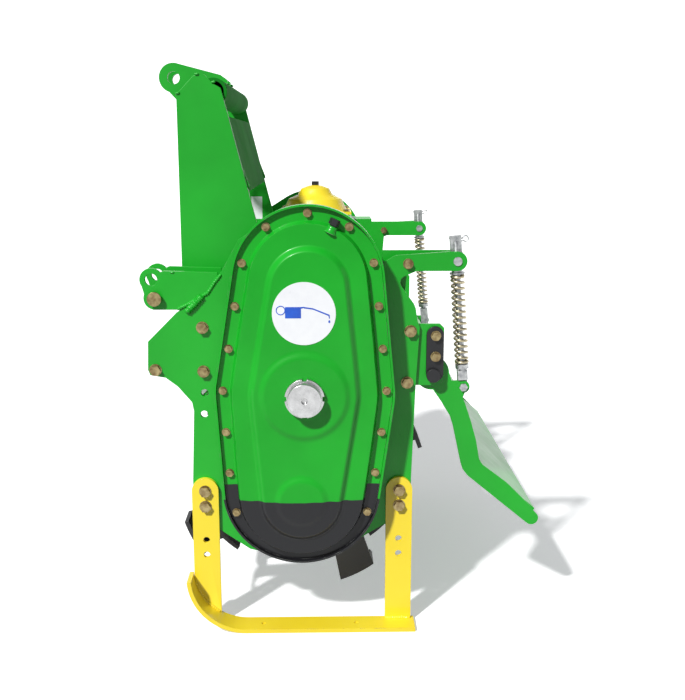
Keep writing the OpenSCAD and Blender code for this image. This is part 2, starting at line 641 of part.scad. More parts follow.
// Direction of blade k of flange i, so that no two flanges strike at once
function blade_angle(i, k) = 90 * k + 18 * i + 40;
module rotor_tube() color("dimgray") at_rotor() {
    tube([0, 0], rotor_d, rotor_d - 16, -tube_end, tube_end);
    both_sides() bar([0, 0], rotor_d - 16, -tube_end, -tube_end + 20);
    bar([0, 0], rotor_shaft_d, gear_y - 3, -tube_end);
    bar([0, 0], rotor_shaft_d, tube_end, face_y + 10);
    for (i = [0:flanges - 1]) slab(flange_y[i] - flange_t / 2, flange_t) difference() {
        circle(r = 95);
        circle(r = rotor_d / 2 - 1);
        for (k = [0:3]) rotate(blade_angle(i, k)) holes(blade_holes, plate_bolt_d + 2 * bolt_gap);
    }
}
blade_sweep = [-4, -22];                     // the tip's two ends, behind the blade's root, in degrees
module blade() {
    slab(-flange_t / 2 - blade_t, blade_t) difference() {
        polygon(concat([[62, -24], [62, 24], [128, 26]],
            arc([0, 0], blade_r, blade_sweep[0], blade_sweep[1], 6), [[150, -50], [110, -30]]));
        holes(blade_holes, plate_bolt_d + 2 * bolt_gap);
    }
    slab(-flange_t / 2 - blade_reach, blade_reach - blade_t) polygon(concat(
        arc([0, 0], blade_r, blade_sweep[0], blade_sweep[1], 6),
        arc([0, 0], blade_r - blade_t, blade_sweep[1], blade_sweep[0], 6)));
}
// Blades 1 and 3 of a flange reach towards -Y, blades 2 and 4 towards +Y
module on_flanges() for (i = [0:flanges - 1], k = [0:3]) translate([0, flange_y[i], 0])
    rotate([0, -blade_angle(i, k), 0]) mirror([0, k % 2, 0]) children();
module blades() color("dimgray") at_rotor() on_flanges() blade();
module blade_bolts() color("goldenrod") at_rotor() on_flanges()
    for (p = blade_holes) bolt(p, plate_bolt_d, -flange_t / 2 - blade_t, flange_t + blade_t);
module rotor_bearings() color("silver") at_rotor() both_sides()
    tube([0, 0], rotor_bearing_d, rotor_shaft_d + 2 * run_gap, -face_y - 6, -inner_y + 6);
module rotor_bearing_cap() color("limegreen") at_rotor() mirror([0, 1, 0]) {
    difference() {
        union() {
            bar([0, 0], 156, -face_y - 8, -face_y);
            bar([0, 0], 110, -face_y - 26, -face_y - 8);
        }
        bar([0, 0], rotor_bearing_d + 2 * run_gap, -face_y - 20, -face_y + 1);
        for (p = cap_bolts) bar(p, 10 + 2 * bolt_gap, -face_y - 9, -face_y + 1);
    }
}

// ---- Trailing board ------------------------------------------------------------------------------
board_line = [[236, 253], [262, 244], [281, 206], [303, 174], [319, 128], [337, 52], [344, 41],
              [429, -33], [449, -51]];
module cheek_outline() difference() {
    union() {
        polygon([[238, 201], [262, 166], [279, 138], [285, 120], [302, 44], [306, 32], [316, 19],
                 [432, -77], [450, -58], [429, -33], [391, 5], [344, 41], [337, 52], [330, 90],
                 [319, 128], [303, 174], [306, 182], [300, 206], [281, 206], [272, 232]]);
        dot(pivot, 32);
        dot(ear, 12);
        dot(board_tip, tip_r);
    }
    dot(pivot, hinge_d / 2 + run_gap);
    dot(ear, ear_pin_d / 2 + run_gap);
}
ear_pin_d = 9;
module board_cheeks() color("limegreen") at_rotor() both_sides()
    slab(-rod_y - cheek_t / 2, cheek_t) cheek_outline();
foot_t = 10;                                 // thickness of the rods' feet, inside the cheeks
module board_sheet() color("limegreen") at_rotor() difference() {
    slab(-rod_y + cheek_t / 2, 2 * rod_y - cheek_t)
        polygon(concat(board_line, [for (i = [len(board_line) - 1:-1:0]) let (
            a = board_line[max(i - 1, 0)],
            b = board_line[min(i + 1, len(board_line) - 1)],
            d = (b - a) / norm(b - a)) board_line[i] + board_t * [d[1], -d[0]]]));
    both_sides() bar(ear, 60, -rod_y, -rod_y + cheek_t / 2 + foot_t + 3);
}

// ---- Spring rods -------------------------------------------------------------------------------------
rod_run = swivel - ear;
rod_l = norm(rod_run);
rod_tilt = atan(rod_run[0] / rod_run[1]);
block_h = 30;
rod_hole_d = rod_d + 2.4;                    // room for the rod as it swings in its trunnion
clevis_top = 22;
collar_z = 36;
collar_h = 8;
washer_z = rod_l - 22;
module at_ear() translate([ear[0], -rod_y, ear[1]]) rotate([0, rod_tilt, 0]) children();
module spring_rod() at_ear() {
    translate([-9, cheek_t / 2 + 0.5, -10]) cube([18, foot_t, clevis_top + 20]);
    translate([-9, -rod_d / 2, 14]) cube([18, cheek_t / 2 + 0.5 + foot_t + rod_d / 2, clevis_top - 4]);
    rotate([90, 0, 0]) translate([0, 0, -cheek_t / 2 - foot_t]) cylinder(d = ear_pin_d, h = cheek_t + foot_t + 2);
    rotate([90, 0, 0]) translate([0, 0, cheek_t / 2 + 0.5]) cylinder(r = 8, h = 5, $fn = 6);
    translate([0, 0, clevis_top]) cylinder(d = rod_d, h = rod_l + block_h / 2 + 20 - clevis_top);
    translate([0, 0, collar_z]) cylinder(d = 25, h = collar_h);
    difference() {
        translate([-10.5, -4, rod_l + block_h / 2 + seat_gap]) cube([21, 8, 30]);
        translate([0, 0, clip_z]) rotate([0, 90, 0]) cylinder(d = 3.4, h = 40, center = true);
    }
}
clip_z = rod_l + block_h / 2 + 24;
module rod_clip() at_ear() translate([0, 0, clip_z]) {
    translate([-14, 0, 0]) rotate([0, 90, 0]) cylinder(d = 3, h = 28);
    translate([18.5, 0, 0]) rotate([90, 0, 0]) rotate_extrude() translate([6, 0]) circle(d = 3, $fn = 16);
}
// A coil of round wire, from z0 to z1
module coil(z0, z1) {
    r = (spring_d - wire_d) / 2;
    steps = 16 * spring_turns;
    sides = 6;
    ring = [for (i = [0:steps], k = [0:sides - 1]) let (a = 22.5 * i, b = 360 * k / sides)
        [(r + wire_d / 2 * cos(b)) * cos(a), (r + wire_d / 2 * cos(b)) * sin(a),
         z0 + wire_d / 2 + (z1 - z0 - wire_d) * i / steps + wire_d / 2 * sin(b)]];
    polyhedron(ring, concat(
        [[for (k = [0:sides - 1]) k]],
        [[for (k = [sides - 1:-1:0]) steps * sides + k]],
        [for (i = [0:steps - 1], k = [0:sides - 1]) let (n = (k + 1) % sides)
            [i * sides + k, (i + 1) * sides + k, (i + 1) * sides + n, i * sides + n]]));
}
module spring() at_ear() coil(collar_z + collar_h + seat_gap, washer_z - 3 - seat_gap);
module trunnion() at_ear() translate([0, 0, rod_l]) difference() {
    union() {
        cube([22, arm_gap - 2 * seat_gap, block_h], center = true);
        translate([0, 0, washer_z - rod_l]) cylinder(d = 20, h = 10);
        translate([0, 0, washer_z - rod_l - 3]) cylinder(d = 28, h = 3);
        translate([0, arm_gap / 2 + arm_t + 2, 0]) rotate([90, 0, 0])
            cylinder(d = pin_d, h = arm_gap + arm_t + plate_t + 4);
    }
    cylinder(d = rod_hole_d, h = 80, center = true);
}
module spring_rod_near() color("silver") at_rotor() spring_rod();
module spring_near() color("silver") at_rotor() spring();
module rod_clip_near() color("silver") at_rotor() rod_clip();
module trunnion_near() color("silver") at_rotor() trunnion();
module spring_rod_far() color("silver") at_rotor() mirror([0, 1, 0]) spring_rod();
module spring_far() color("silver") at_rotor() mirror([0, 1, 0]) spring();
module rod_clip_far() color("silver") at_rotor() mirror([0, 1, 0]) rod_clip();
module trunnion_far() color("silver") at_rotor() mirror([0, 1, 0]) trunnion();

side_plate_drive();
side_plate_bearing();
rotor_hood();
front_cross_tube();
front_stay();
axle_tube_drive();
axle_tube_bearing();
mast_legs();
mast_top_beam();
mast_rear_web();
top_link_plates();
lower_link_plates();
lower_link_pins();
hinge_holders();
hinge_links();
link_nuts();
hinge_pins();
inner_arms();
arm_spacers();
side_bolts();
skids();
skid_bolts();
gearbox_housing();
gearbox_cover();
gearbox_bolts();
breather();
input_bearings();
cross_bearings();
case_housing();
case_gasket();
case_cover();
case_bolts();
filler_plug();
drain_plug();
label_disc();
middle_axle();
axle_lock_ring();
axle_end_nut();
rotor_bearings();
rotor_bearing_cap();
input_shaft();
bevel_pinion();
cross_shaft();
bevel_gear();
upper_gear();
middle_gear();
rotor_tube();
rotor_gear();
blades();
blade_bolts();
board_sheet();
board_cheeks();
spring_rod_near();
spring_near();
rod_clip_near();
spring_rod_far();
spring_far();
rod_clip_far();
trunnion_near();
trunnion_far();
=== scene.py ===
"""Looks of the rotary tiller: bevelled plates, a pressed case cover, coil springs, welds and paint."""
import json
import math
import random

import bmesh
import bpy
import numpy as np
from mathutils import Euler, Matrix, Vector


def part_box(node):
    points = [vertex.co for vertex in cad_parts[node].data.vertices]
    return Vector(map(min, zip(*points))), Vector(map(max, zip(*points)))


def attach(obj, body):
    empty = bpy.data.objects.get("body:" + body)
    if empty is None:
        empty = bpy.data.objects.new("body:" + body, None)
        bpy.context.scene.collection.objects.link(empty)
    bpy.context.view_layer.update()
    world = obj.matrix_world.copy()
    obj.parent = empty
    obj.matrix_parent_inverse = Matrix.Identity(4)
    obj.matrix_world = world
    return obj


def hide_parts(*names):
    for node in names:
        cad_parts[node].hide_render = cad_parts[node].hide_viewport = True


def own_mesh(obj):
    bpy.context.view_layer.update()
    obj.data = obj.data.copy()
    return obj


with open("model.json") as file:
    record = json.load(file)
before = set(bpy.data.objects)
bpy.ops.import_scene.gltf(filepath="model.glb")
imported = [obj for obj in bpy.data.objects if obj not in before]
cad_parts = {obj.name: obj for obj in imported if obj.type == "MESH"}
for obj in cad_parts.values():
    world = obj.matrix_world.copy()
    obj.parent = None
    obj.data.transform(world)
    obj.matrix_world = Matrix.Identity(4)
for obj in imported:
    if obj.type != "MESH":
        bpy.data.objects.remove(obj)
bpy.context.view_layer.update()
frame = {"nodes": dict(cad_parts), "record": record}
random.seed(7)

MM = 0.001
joints = {j["name"]: j for j in frame["record"]["behaviour"]["joints"]}
axis = Vector(joints["rotor_spin"]["pos_m"])
mid_shaft = Vector(joints["middle_gear_spin"]["pos_m"])
top_shaft = Vector(joints["cross_shaft_spin"]["pos_m"])


def at(x, y, z):
    """A place in metres, from millimetres measured from the rotor's axis at the frame's middle."""
    return axis + Vector((x, y, z)) * MM


def low(node):
    """The lowest corner of a CAD node's box."""
    return Vector(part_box(node)[0])


def high(node):
    """The highest corner of a CAD node's box."""
    return Vector(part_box(node)[1])


FACE = (axis.y - low("side_plate_drive").y) / MM      # outer face of a side plate, from the middle


# ---- Materials ------------------------------------------------------------------------------------
def new_material(name):
    """A material, its node tree, its shader and the object's own coordinates."""
    m = bpy.data.materials.new(name)
    m.use_nodes = True
    tree = m.node_tree
    shader = tree.nodes["Principled BSDF"]
    coords = tree.nodes.new("ShaderNodeTexCoord").outputs["Object"]
    return m, tree, shader, coords


def noise(tree, coords, scale, detail=4.0, rough=0.55):
    """Fractal noise from 0 to 1; scale is in waves per metre."""
    n = tree.nodes.new("ShaderNodeTexNoise")
    n.inputs["Scale"].default_value = scale
    n.inputs["Detail"].default_value = detail
    n.inputs["Roughness"].default_value = rough
    tree.links.new(coords, n.inputs["Vector"])
    return n.outputs["Fac"]


def ramp(tree, factor, stops):
    """Colours at places from 0 to 1."""
    r = tree.nodes.new("ShaderNodeValToRGB")
    while len(r.color_ramp.elements) < len(stops):
        r.color_ramp.elements.new(0.5)
    for element, (place, colour) in zip(r.color_ramp.elements, stops):
        element.position = place
        element.color = (*colour, 1.0)
    tree.links.new(factor, r.inputs["Fac"])
    return r.outputs["Color"]


def mix(tree, factor, a, b):
    """Colour a where the factor is 0 and b where it is 1."""
    m = tree.nodes.new("ShaderNodeMix")
    m.data_type = "RGBA"
    tree.links.new(factor, m.inputs["Factor"])
    for value, socket in ((a, m.inputs["A"]), (b, m.inputs["B"])):
        if isinstance(value, tuple):
            socket.default_value = (*value, 1.0)
        else:
            tree.links.new(value, socket)
    return m.outputs["Result"]


def maths(tree, kind, a, b):
    """One sum on numbers or sockets."""
    m = tree.nodes.new("ShaderNodeMath")
    m.operation = kind
    for value, socket in ((a, m.inputs[0]), (b, m.inputs[1])):
        if isinstance(value, (int, float)):
            socket.default_value = value
        else:
            tree.links.new(value, socket)
    return m.outputs["Value"]


def level(tree, factor, lowest, highest):
    """A factor from 0 to 1, spread from lowest to highest."""
    m = tree.nodes.new("ShaderNodeMapRange")
    m.inputs["To Min"].default_value = lowest
    m.inputs["To Max"].default_value = highest
    tree.links.new(factor, m.inputs["Value"])
    return m.outputs["Result"]


def bump(tree, shader, height, strength, distance):
    """Fine relief; distance is in metres."""
    b = tree.nodes.new("ShaderNodeBump")
    b.inputs["Strength"].default_value = strength
    b.inputs["Distance"].default_value = distance
    tree.links.new(height, b.inputs["Height"])
    tree.links.new(b.outputs["Normal"], shader.inputs["Normal"])


def worn_edges(tree, coords, reach=0.0016):
    """Up to 1 on sharp edges, broken up by noise, and 0 on flat faces."""
    soft = tree.nodes.new("ShaderNodeBevel")
    soft.samples = 4
    soft.inputs["Radius"].default_value = reach
    geometry = tree.nodes.new("ShaderNodeNewGeometry")
    dot = tree.nodes.new("ShaderNodeVectorMath")
    dot.operation = "DOT_PRODUCT"
    tree.links.new(soft.outputs["Normal"], dot.inputs[0])
    tree.links.new(geometry.outputs["Normal"], dot.inputs[1])
    turned = maths(tree, "SUBTRACT", 0.93, dot.outputs["Value"])
    patchy = maths(tree, "SUBTRACT", noise(tree, coords, 55.0), 0.52)
    both = maths(tree, "MULTIPLY", maths(tree, "MAXIMUM", turned, 0.0), maths(tree, "MAXIMUM", patchy, 0.0))
    return maths(tree, "MINIMUM", maths(tree, "MULTIPLY", both, 60.0), 1.0)


def paint(name, colour, shade, worn, roughness=0.36, coat=0.16, peel=0.12, black_below=None):
    """Gloss paint: faint colour drift, smudges, orange peel and small chips on the edges."""
    m, tree, shader, coords = new_material(name)
    drift = ramp(tree, noise(tree, coords, 5.0), [(0.3, shade), (0.62, colour)])
    fine = noise(tree, coords, 90.0, 3.0)
    base = mix(tree, level(tree, fine, 0.0, 0.16), drift, shade)
    if black_below is not None:
        base = black_zone(tree, coords, base, *black_below)
    base = mix(tree, worn_edges(tree, coords), base, worn)
    tree.links.new(base, shader.inputs["Base Color"])
    smudge = noise(tree, coords, 14.0, 6.0, 0.65)
    tree.links.new(level(tree, smudge, roughness - 0.1, roughness + 0.2), shader.inputs["Roughness"])
    shader.inputs["Coat Weight"].default_value = coat
    shader.inputs["Coat Roughness"].default_value = 0.12
    bump(tree, shader, noise(tree, coords, 420.0, 2.0), peel, 0.0004)
    return m


def black_zone(tree, coords, base, tray_z, rim_z, rim_y):
    """Black paint below tray_z, and below rim_z on the rim that lies behind rim_y."""
    split = tree.nodes.new("ShaderNodeSeparateXYZ")
    tree.links.new(coords, split.inputs["Vector"])
    behind = maths(tree, "GREATER_THAN", split.outputs["Y"], rim_y)
    line = maths(tree, "ADD", tray_z, maths(tree, "MULTIPLY", behind, rim_z - tray_z))
    wander = maths(tree, "MULTIPLY", maths(tree, "SUBTRACT", noise(tree, coords, 22.0, 2.0), 0.5), 0.006)
    under = maths(tree, "LESS_THAN", maths(tree, "ADD", split.outputs["Z"], wander), line)
    return mix(tree, under, base, BLACK)


def metal(name, colour, second, roughness, grain, drift=14.0, depth=0.25):
    """Bare or plated metal in two tones, with fine spots."""
    m, tree, shader, coords = new_material(name)
    tone = ramp(tree, noise(tree, coords, drift, 6.0), [(0.34, second), (0.66, colour)])
    spots = noise(tree, coords, grain, 4.0, 0.7)
    tree.links.new(mix(tree, level(tree, spots, 0.0, 0.35), tone, second), shader.inputs["Base Color"])
    tree.links.new(level(tree, spots, roughness - 0.12, roughness + 0.22), shader.inputs["Roughness"])
    shader.inputs["Metallic"].default_value = 0.92
    bump(tree, shader, spots, depth, 0.0003)
    return m


def plain(name, colour, second, roughness, grain, coat=0.0):
    """A quiet surface in two near tones, with a fine grain."""
    m, tree, shader, coords = new_material(name)
    fine = noise(tree, coords, grain, 3.0)
    tree.links.new(ramp(tree, fine, [(0.35, second), (0.65, colour)]), shader.inputs["Base Color"])
    tree.links.new(level(tree, fine, roughness - 0.08, roughness + 0.1), shader.inputs["Roughness"])
    shader.inputs["Coat Weight"].default_value = coat
    bump(tree, shader, fine, 0.08, 0.0003)
    return m


def shader_of(material):
    return material.node_tree.nodes["Principled BSDF"]


BLACK = (0.012, 0.012, 0.014)
GREEN = (0.010, 0.41, 0.021)
GREEN_SHADE = (0.006, 0.325, 0.015)
PRIMER = (0.20, 0.21, 0.19)
green = paint("green_paint", GREEN, GREEN_SHADE, PRIMER)
rim_face = low("case_gasket").y
case_green = paint("case_paint", GREEN, GREEN_SHADE, PRIMER, 0.3, 0.12, 0.08,
                   (axis.z, axis.z + 0.026, rim_face - 0.006))
cast_green = paint("cast_green_paint", GREEN, GREEN_SHADE, PRIMER, 0.42, 0.15, 0.6)
yellow = paint("yellow_paint", (0.92, 0.73, 0.030), (0.86, 0.64, 0.020), (0.35, 0.24, 0.1), 0.34, 0.3)
black = paint("black_paint", BLACK, (0.02, 0.02, 0.022), (0.12, 0.11, 0.1), 0.42, 0.1, 0.3)
blade_black = paint("blade_paint", BLACK, (0.022, 0.02, 0.019), (0.3, 0.28, 0.26), 0.5, 0.05, 0.5)
gold = metal("gold_zinc", (0.46, 0.38, 0.19), (0.17, 0.11, 0.05), 0.34, 260.0, 95.0, 0.5)
spring_zinc = metal("spring_zinc", (0.66, 0.58, 0.38), (0.36, 0.32, 0.22), 0.3, 260.0, 30.0)
zinc = metal("bright_zinc", (0.64, 0.65, 0.64), (0.28, 0.29, 0.30), 0.34, 220.0, 110.0)
# The same green paint made darker and matt: painted shade for the mast's rear web and top beam, whose faces
# lie in shadow.
matt_shaded_green = paint("matt_shaded_green_paint", (0.008, 0.24, 0.016), (0.005, 0.16, 0.011), PRIMER, 0.75, 0.0, 0.2)
for painted, gloss in ((green, 0.34), (case_green, 0.24), (cast_green, 0.34), (matt_shaded_green, 0.1),
                       (black, 0.3)):
    shader_of(painted).inputs["Specular IOR Level"].default_value = gloss
steel = metal("machined_steel", (0.62, 0.62, 0.62), (0.44, 0.44, 0.44), 0.26, 300.0, 60.0, 0.12)
gasket = plain("gasket_black", (0.02, 0.02, 0.02), (0.012, 0.012, 0.012), 0.7, 300.0)
label_white = plain("label_white", (0.90, 0.91, 0.93), (0.86, 0.87, 0.90), 0.3, 60.0, 0.4)
label_blue = plain("label_blue", (0.006, 0.10, 0.62), (0.005, 0.07, 0.50), 0.4, 60.0, 0.3)

# Which CAD nodes each material goes on
FINISH = {
    green: ["side_plate_drive", "side_plate_bearing", "rotor_hood", "front_cross_tube", "front_stay",
            "axle_tube_drive", "axle_tube_bearing", "mast_legs", "top_link_plates",
            "lower_link_plates", "hinge_holders", "inner_arms", "board_sheet", "board_cheeks"],
    # painted shade: the darker matt green on the mast's top beam and rear web
    matt_shaded_green: ["mast_top_beam", "mast_rear_web"],
    case_green: ["case_housing"],
    cast_green: ["gearbox_housing", "rotor_bearing_cap"],
    yellow: ["skids", "gearbox_cover"],
    black: ["hinge_links", "hinge_pins", "breather", "filler_plug", "drain_plug", "rotor_tube"],
    blade_black: ["blades"],
    gold: ["lower_link_pins", "arm_spacers", "side_bolts", "skid_bolts", "gearbox_bolts", "case_bolts",
           "blade_bolts", "link_nuts"],
    zinc: ["spring_rod_near", "spring_rod_far", "trunnion_near", "trunnion_far"],
    steel: ["middle_axle", "axle_lock_ring", "axle_end_nut", "input_shaft", "cross_shaft", "bevel_pinion",
            "bevel_gear", "upper_gear", "middle_gear", "rotor_gear", "input_bearings", "cross_bearings",
            "rotor_bearings"],
    gasket: ["case_gasket"],
    label_white: ["label_disc"],
}
# How wide each CAD node's sharp edges are rounded, in mm
BEVELS = {
    "side_plate_drive": 1.0, "side_plate_bearing": 1.0, "rotor_hood": 0.8, "front_cross_tube": 1.2,
    "mast_legs": 1.2, "mast_top_beam": 0.8, "mast_rear_web": 1.0, "top_link_plates": 1.2,
    "lower_link_plates": 1.0, "hinge_holders": 1.0, "inner_arms": 1.0, "board_sheet": 0.8,
    "board_cheeks": 1.0, "case_housing": 0.8, "gearbox_cover": 1.5,
    "rotor_bearing_cap": 1.5, "skids": 1.2, "hinge_links": 1.4, "hinge_pins": 1.2, "breather": 0.6,
    "filler_plug": 0.7, "drain_plug": 0.7, "blades": 1.0, "lower_link_pins": 1.2,
    "arm_spacers": 0.5, "side_bolts": 0.6, "skid_bolts": 0.6, "gearbox_bolts": 0.6, "case_bolts": 0.45,
    "blade_bolts": 0.5, "link_nuts": 0.6, "axle_end_nut": 1.2, "axle_lock_ring": 0.7,
    "spring_rod_near": 0.8, "spring_rod_far": 0.8, "trunnion_near": 0.6, "trunnion_far": 0.6,
    "axle_tube_drive": 0.8, "axle_tube_bearing": 0.8, "input_shaft": 0.5,
}


def body_name(node):
    """The body that a CAD node rides on."""
    for name, nodes in frame["record"]["behaviour"]["bodies"].items():
        if node in nodes:
            return name


def add_piece(name, mesh, material, body, smooth_angle=35.0):
    """A new object with this mesh and material, riding on a body."""
    for polygon in mesh.polygons:
        polygon.use_smooth = True
    mesh.set_sharp_from_angle(angle=math.radians(smooth_angle))
    mesh.materials.clear()
    mesh.materials.append(material)
    piece = bpy.data.objects.new(name, mesh)
    bpy.context.scene.collection.objects.link(piece)
    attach(piece, body)
    return piece


def bevelled(node, width, material):
    """The same CAD shape with its sharp edges rounded, in place of the CAD node."""
    work = bmesh.new()
    work.from_mesh(frame["nodes"][node].data)
    bmesh.ops.remove_doubles(work, verts=work.verts, dist=1e-6)
    bmesh.ops.dissolve_limit(work, angle_limit=math.radians(0.5), verts=work.verts, edges=work.edges)
    mesh = bpy.data.meshes.new(node + "_shape")
    work.to_mesh(mesh)
    work.free()
    piece = add_piece(node + "_finished", mesh, material, body_name(node))
    rounding = piece.modifiers.new("rounding", "BEVEL")
    rounding.width = width * MM
    rounding.segments = 2
    rounding.limit_method = "ANGLE"
    rounding.angle_limit = math.radians(38)
    rounding.use_clamp_overlap = True
    rounding.harden_normals = True
    bpy.context.view_layer.update()
    graph = bpy.context.evaluated_depsgraph_get()
    rounded = bpy.data.meshes.new_from_object(piece.evaluated_get(graph))
    piece.modifiers.clear()
    piece.data = rounded
    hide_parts(node)


def finish_nodes():
    """Each listed CAD node gets its material, and its rounded edges if it has any."""
    for material, nodes in FINISH.items():
        for node in nodes:
            if node in BEVELS:
                bevelled(node, BEVELS[node], material)
            else:
                slots = frame["nodes"][node].data.materials
                slots.clear()
                slots.append(material)


# ---- Swept bars: springs, clips and welds ------------------------------------------------------------
def sweep(name, points, radius, sides=12):
    """A closed round bar along points; radius is a number or a function of the point's index."""
    work = bmesh.new()
    rings = []
    up = Vector((0, 0, 1))
    for i, point in enumerate(points):
        ahead = points[min(i + 1, len(points) - 1)] - points[max(i - 1, 0)]
        ahead.normalize()
        side = ahead.cross(up)
        if side.length < 1e-3:
            side = ahead.cross(Vector((0, 1, 0)))
        side.normalize()
        up = side.cross(ahead).normalized()
        r = radius(i) if callable(radius) else radius
        rings.append([work.verts.new(point + r * (math.cos(a) * side + math.sin(a) * up))
                      for a in (2 * math.pi * k / sides for k in range(sides))])
    for first, second in zip(rings, rings[1:]):
        for k in range(sides):
            n = (k + 1) % sides
            work.faces.new((first[k], first[n], second[n], second[k]))
    work.faces.new(rings[0][::-1])
    work.faces.new(rings[-1])
    bmesh.ops.recalc_face_normals(work, faces=work.faces)
    mesh = bpy.data.meshes.new(name)
    work.to_mesh(mesh)
    work.free()
    return mesh


def coil_spring(side):
    """A closed-end compression spring on its rod, built at one fixed length."""
    node = "spring_" + side
    foot = Vector(joints["rod_tilt_" + side]["pos_m"])
    head = Vector(joints["trunnion_tilt_" + side]["pos_m"])
    along = (head - foot).normalized()
    across = Vector((0, 1, 0))
    third = along.cross(across)
    seat, length, travel = 44.4 * MM, 168.4 * MM, 21.2 * MM
    wire, outer, turns = 2.5 * MM, 13.5 * MM, 16.5          # radii of the wire and of the coil
    lowest = foot + along * seat
    steps = int(turns * 28)
    points = []
    for i in range(steps + 1):
        t = turns * i / steps
        closed = min(t, 1.0) + max(0.0, t - turns + 1.0)    # turns that lie on each other, at the ends
        share = (min(max(t - 1.0, 0.0), turns - 2.0)) / (turns - 2.0)
        height = wire + closed * wire + share * (length - 4 * wire)
        a = 2 * math.pi * t
        points.append(lowest + along * min(height, length - wire)
                      + (outer - wire) * (math.cos(a) * third + math.sin(a) * across))
    piece = add_piece(node + "_coil", sweep(node, points, wire, 10), spring_zinc, "rod_set_" + side, 80)
    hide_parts(node)
    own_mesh(piece)
    return piece


def hairpin(side):
    """The R-shaped clip through the head of a spring rod."""
    node = "rod_clip_" + side
    start, end = low(node), high(node)
    y = (start.y + end.y) / 2
    pin_z = (start.z + end.z) / 2
    left = start.x + 2 * MM
    ring = Vector((end.x - 7.5 * MM, y, pin_z - 0.5 * MM))
    points = [Vector((left + (ring.x - 5 * MM - left) * k / 8, y, pin_z)) for k in range(9)]
    for k in range(1, 22):
        a = math.radians(180 - 15 * k)
        points.append(ring + Vector((5.2 * MM * math.cos(a), 0, 5.2 * MM * math.sin(a))))
    last = points[-1]
    for k in range(1, 10):
        points.append(last + Vector((-1.6 * MM * k, 0, -1.3 * MM * math.sin(math.pi * k / 9))))
    piece = add_piece(node + "_hairpin", sweep(node, points, 1.3 * MM, 10), zinc, "rod_set_" + side, 80)
    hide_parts(node)


def weld(name, points, radius, material=green):
    """A rippled bead along a line of places, in millimetres."""
    places = [at(*p) for p in points]
    line = []
    for a, b in zip(places, places[1:]):
        count = max(2, int((b - a).length / (1.1 * MM)))
        line += [a + (b - a) * k / count for k in range(count)]
    line.append(places[-1])
    line = [p + Vector((random.uniform(-1, 1), random.uniform(-1, 1), random.uniform(-1, 1))) * 0.22 * MM
            for p in line]

    def ripple(i):
        end = min(i, len(line) - 1 - i)
        return radius * MM * min(1.0, 0.55 + 0.15 * end) * (1.0 + 0.16 * math.sin(i * 1.55))

    add_piece(name, sweep(name, line, ripple, 8), material, "frame", 80)


def weld_pair(name, points, radius, material=green):
    """The same bead on the near side and mirrored on the far side."""
    weld(name + "_near", points, radius, material)
    weld(name + "_far", [(x, -y, z) for x, y, z in points], radius, material)


def welds():
    """The beads, each on the near side and on the far side."""
    plate = -FACE                       # outer face of the near side plate
    skid = -FACE - 8.6                  # outer face of the near skid
    leg = -274.5                        # outer face of the near mast leg
    seam = [(-143, 410), (-154, 397), (-168, 376), (-205, 355), (-224, 346)]
    weld_pair("weld_hitch", [(x, plate + 0.6, z) for x, z in seam], 3.6)
    weld_pair("weld_gusset", [(-209, plate - 1.0, 340), (-192, plate - 1.5, 356), (-177, plate - 1.0, 371)],
              6.5)
    weld_pair("weld_leg_foot", [(x, leg - 1.0, 346) for x in (-226, -200, -180)], 3.4)
    weld_pair("weld_web_low", [(-98, -265, 560), (-146, -265, 684)], 2.6)
    weld_pair("weld_skid_front", [(-206, skid, -183), (-190, skid, -222), (-160, skid, -245)], 2.6, yellow)
    weld_pair("weld_skid_rear", [(159, skid, -261), (207, skid, -261)], 2.6, yellow)
    weld_pair("weld_top_plate", [(-182, -41.5, 765), (-150, -41.5, 762)], 2.8)
    tacks = [(-226, leg, 731), (-190, leg, 765), (-160, leg, 751), (-226, leg, 352),
             (-232, plate + 0.5, 413)]
    for k, (x, y, z) in enumerate(tacks):
        weld_pair(f"weld_tack_{k}", [(x - 3, y, z), (x + 5, y, z + 1)], 2.6)


# ---- Pressed cover of the gear case --------------------------------------------------------------------
def smooth(t):
    """An even slope from 0 to 1 with rounded ends."""
    t = np.clip(t, 0.0, 1.0)
    return t * t * (3 - 2 * t)


RAYS = np.radians(np.arange(0, 360, 1.0))
ACROSS = np.stack([np.cos(RAYS), np.sin(RAYS)])
LOW_Z = 19.0                            # middle of the case's lowest circle, above the rotor's axis


def case_wrap(inset, low_centre, low_inset, drop=0.0):
    """Three circles, as rows of middle x, middle z and radius in mm from the rotor's axis."""
    lowest, highest = low("case_gasket"), high("case_gasket")
    t = Vector((top_shaft.x - axis.x, top_shaft.z - axis.z)) / MM
    m = Vector((mid_shaft.x - axis.x, mid_shaft.z - axis.z)) / MM
    top_r = (highest.z - top_shaft.z) / MM
    mid_r = (highest.x - lowest.x) / MM / 2
    low_r = LOW_Z + (axis.z - lowest.z) / MM
    return np.array([[t.x, t.y - drop, top_r - inset], [m.x, m.y, mid_r - inset],
                     [0.0, low_centre, low_r - low_inset]])


def inward(circles, places):
    """How far each place lies inside the outline wrapped round the circles, in mm."""
    support = (circles[:, :2] @ ACROSS + circles[:, 2:]).max(axis=0)
    return (support - places @ ACROSS).min(axis=1)


